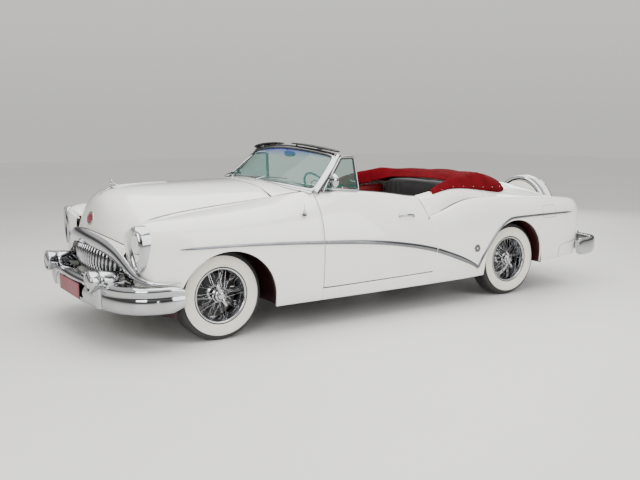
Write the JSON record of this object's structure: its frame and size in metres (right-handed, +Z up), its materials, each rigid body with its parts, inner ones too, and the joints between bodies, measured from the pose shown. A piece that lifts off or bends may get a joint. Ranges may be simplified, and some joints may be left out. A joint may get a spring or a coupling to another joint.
{
  "type": "convertible car",
  "caption": "Long low 1950s open car with a red boot cover, wire wheels, whitewall tyres, bullet bumpers and an upright spare wheel at the tail.",
  "frame": {"origin": "on the ground under the middle of the overall length, on the centre plane", "axes": "+X to the nose, +Y to the car's left, +Z up"},
  "size_m": [5.364, 1.978, 1.461],
  "materials": {
    "body_paint": "glossy ivory paint",
    "dark_frame": "satin black chassis paint",
    "underbody_paint": "dark red paint and undercoat",
    "cast_engine": "painted cast iron",
    "exhaust_steel": "dull steel",
    "chrome_trim": "polished chrome",
    "clear_glass": "clear, with a tinted band at the top",
    "dash_paint": "glossy dark red",
    "wheel_rim_plastic": "dark gloss",
    "seat_leather": "red and ivory pleated leather",
    "boot_fabric": "woven red canvas",
    "plate_paint": "plain red plate",
    "lamp_chrome": "polished chrome with clear lens",
    "lamp_red": "clear red lens in chrome",
    "tyre_rubber": "black rubber with a white side band",
    "wire_chrome": "polished chrome wires",
    "steel_parts": "black painted steel"
  },
  "bodies": {
    "body": {"fender_left": "body_paint", "fender_right": "body_paint", "quarter_left": "body_paint", "quarter_right": "body_paint", "cowl": "body_paint", "rear_deck": "body_paint", "underbody": "underbody_paint", "chassis_frame": "dark_frame", "engine": "cast_engine", "exhaust": "exhaust_steel", "fuel_tank": "dark_frame", "front_suspension": "steel_parts", "rear_axle": "steel_parts", "windshield_frame": "chrome_trim", "windshield_glass": "clear_glass", "dashboard": "dash_paint", "front_seat": "seat_leather", "rear_seat": "seat_leather", "top_boot": "boot_fabric", "front_bumper": "chrome_trim", "front_plate": "plate_paint", "rear_bumper": "chrome_trim", "grille": "chrome_trim", "grille_moulding": "chrome_trim", "headlamps": "lamp_chrome", "tail_lamps": "lamp_red", "spare_wheel": "body_paint", "spare_carrier": "body_paint"},
    "hood": {"hood": "body_paint"},
    "trunk_lid": {"trunk_lid": "body_paint"},
    "door_left": {"door_left": "body_paint", "vent_window_left": "chrome_trim"},
    "door_right": {"door_right": "body_paint", "vent_window_right": "chrome_trim"},
    "knuckle_left": {"knuckle_left": "steel_parts"},
    "knuckle_right": {"knuckle_right": "steel_parts"},
    "steering_wheel": {"steering_wheel": "wheel_rim_plastic"},
    "wheel_front_left": {"tyre_front_left": "tyre_rubber", "wheel_front_left": "wire_chrome"},
    "wheel_front_right": {"tyre_front_right": "tyre_rubber", "wheel_front_right": "wire_chrome"},
    "wheel_rear_left": {"tyre_rear_left": "tyre_rubber", "wheel_rear_left": "wire_chrome"},
    "wheel_rear_right": {"tyre_rear_right": "tyre_rubber", "wheel_rear_right": "wire_chrome"}
  },
  "joints": [
    {"name": "hood_open", "type": "hinge", "parent": "body", "child": "hood", "pos_m": [1.8, -0.656, 1.064], "axis": [1, 0, 0], "range_deg": [0, 48]},
    {"name": "trunk_lid_open", "type": "hinge", "parent": "body", "child": "trunk_lid", "pos_m": [-1.662, 0, 1.082], "axis": [0, 1, 0], "range_deg": [0, 50]},
    {"name": "door_left_open", "type": "hinge", "parent": "body", "child": "door_left", "pos_m": [0.893, 0.986, 0.7], "axis": [0, 0, -1], "range_deg": [0, 62]},
    {"name": "door_right_open", "type": "hinge", "parent": "body", "child": "door_right", "pos_m": [0.893, -0.986, 0.7], "axis": [0, 0, 1], "range_deg": [0, 62]},
    {"name": "steer_left", "type": "hinge", "parent": "body", "child": "knuckle_left", "pos_m": [1.75, 0.65, 0.35], "axis": [0, 0, 1], "range_deg": [-30, 30]},
    {"name": "steer_right", "type": "hinge", "parent": "body", "child": "knuckle_right", "pos_m": [1.75, -0.65, 0.35], "axis": [0, 0, 1], "range_deg": [-30, 30]},
    {"name": "steering_wheel_turn", "type": "hinge", "parent": "body", "child": "steering_wheel", "pos_m": [0.54, 0.38, 1.045], "axis": [-0.866, 0, 0.5], "range_deg": [-540, 540]},
    {"name": "wheel_front_left_spin", "type": "hinge", "parent": "knuckle_left", "child": "wheel_front_left", "pos_m": [1.75, 0.762, 0.35], "axis": [0, 1, 0], "continuous": true},
    {"name": "wheel_front_right_spin", "type": "hinge", "parent": "knuckle_right", "child": "wheel_front_right", "pos_m": [1.75, -0.762, 0.35], "axis": [0, 1, 0], "continuous": true},
    {"name": "wheel_rear_left_spin", "type": "hinge", "parent": "body", "child": "wheel_rear_left", "pos_m": [-1.336, 0.762, 0.35], "axis": [0, 1, 0], "continuous": true},
    {"name": "wheel_rear_right_spin", "type": "hinge", "parent": "body", "child": "wheel_rear_right", "pos_m": [-1.336, -0.762, 0.35], "axis": [0, 1, 0], "continuous": true}
  ],
  "couplings": [
    {"joint": "steer_right", "follows": "steer_left", "ratio": 1},
    {"joint": "steering_wheel_turn", "follows": "steer_left", "ratio": 17}
  ]
}
